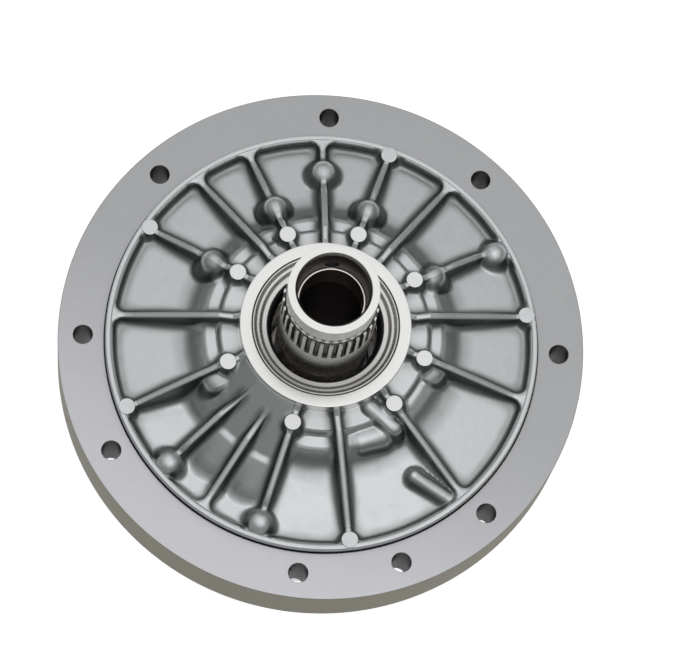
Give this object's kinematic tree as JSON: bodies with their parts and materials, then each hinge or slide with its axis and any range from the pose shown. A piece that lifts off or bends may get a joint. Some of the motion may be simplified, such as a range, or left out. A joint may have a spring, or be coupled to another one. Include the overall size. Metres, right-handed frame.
{
  "type": "automatic gearbox front oil pump",
  "caption": "Round flanged oil pump with a ribbed cast body, internal crescent gears, spool valves, a lip seal and a splined stator support tube on its axis.",
  "frame": {"origin": "on the pump axis, at the end of the rear hub, where the part stands on a bench", "axes": "+Z along the axis from the gearbox towards the torque converter; +X to the right and +Y up in the picture"},
  "size_m": [0.27, 0.27, 0.18],
  "materials": {
    "machined_aluminium": "satin, fine turned",
    "cast_aluminium": "as cast, lightly blasted",
    "bright_steel": "machined",
    "gear_steel": "ground, oiled",
    "anodised_valve": "hard anodised",
    "spring_steel": "drawn wire",
    "bushing_bronze": "bored",
    "ring_iron": "ground",
    "seal_rubber": "moulded",
    "washer_nylon": "moulded"
  },
  "bodies": {
    "housing": {"control_body": "machined_aluminium", "pump_body": "cast_aluminium", "stator_tube": "bright_steel", "stator_front_bushing": "bushing_bronze", "stator_rear_bushing": "bushing_bronze", "hub_bushing": "bushing_bronze", "seal_case": "bright_steel", "seal_lip": "seal_rubber", "seal_garter_spring": "spring_steel", "case_o_ring": "seal_rubber", "sealing_ring_1": "ring_iron", "sealing_ring_2": "ring_iron", "sealing_ring_3": "ring_iron", "thrust_washer": "washer_nylon", "body_bolt_1": "bright_steel", "body_bolt_2": "bright_steel", "body_bolt_3": "bright_steel", "body_bolt_4": "bright_steel", "body_bolt_5": "bright_steel", "body_bolt_6": "bright_steel", "body_bolt_7": "bright_steel", "body_bolt_8": "bright_steel", "body_dowel_1": "bright_steel", "body_dowel_2": "bright_steel", "regulator_spring": "spring_steel", "regulator_retainer": "bright_steel", "boost_sleeve": "anodised_valve", "clutch_control_spring": "spring_steel", "clutch_control_plug": "bright_steel", "clutch_control_retainer": "bright_steel", "converter_feed_spring": "spring_steel", "converter_feed_plug": "bright_steel", "converter_feed_retainer": "bright_steel"},
    "drive_gear": {"drive_gear": "gear_steel"},
    "driven_gear": {"driven_gear": "gear_steel"},
    "regulator_valve": {"regulator_valve": "anodised_valve"},
    "boost_valve": {"boost_valve": "anodised_valve"},
    "clutch_control_valve": {"clutch_control_valve": "anodised_valve"},
    "converter_feed_valve": {"converter_feed_valve": "anodised_valve"}
  },
  "joints": [
    {"name": "driven_gear_spin", "type": "hinge", "parent": "housing", "child": "driven_gear", "pos_m": [0.00139, -0.0099, 0.0732], "axis": [0, 0, 1], "continuous": true},
    {"name": "drive_gear_spin", "type": "hinge", "parent": "housing", "child": "drive_gear", "pos_m": [0, 0, 0.0732], "axis": [0, 0, 1], "continuous": true},
    {"name": "regulator_slide", "type": "slide", "parent": "housing", "child": "regulator_valve", "axis": [1, 0, 0], "range_m": [0, 0.008], "stiffness_N_per_m": 1500, "springref_m": -0.006, "deforming": ["regulator_spring"]},
    {"name": "boost_slide", "type": "slide", "parent": "housing", "child": "boost_valve", "axis": [-1, 0, 0], "range_m": [0, 0.004]},
    {"name": "clutch_control_slide", "type": "slide", "parent": "housing", "child": "clutch_control_valve", "axis": [1, 0, 0], "range_m": [0, 0.006], "stiffness_N_per_m": 1200, "springref_m": -0.005, "deforming": ["clutch_control_spring"]},
    {"name": "converter_feed_slide", "type": "slide", "parent": "housing", "child": "converter_feed_valve", "axis": [-1, 0, 0], "range_m": [0, 0.005], "stiffness_N_per_m": 1000, "springref_m": -0.005, "deforming": ["converter_feed_spring"]}
  ],
  "couplings": [
    {"joint": "drive_gear_spin", "follows": "driven_gear_spin", "ratio": 1.2778}
  ]
}
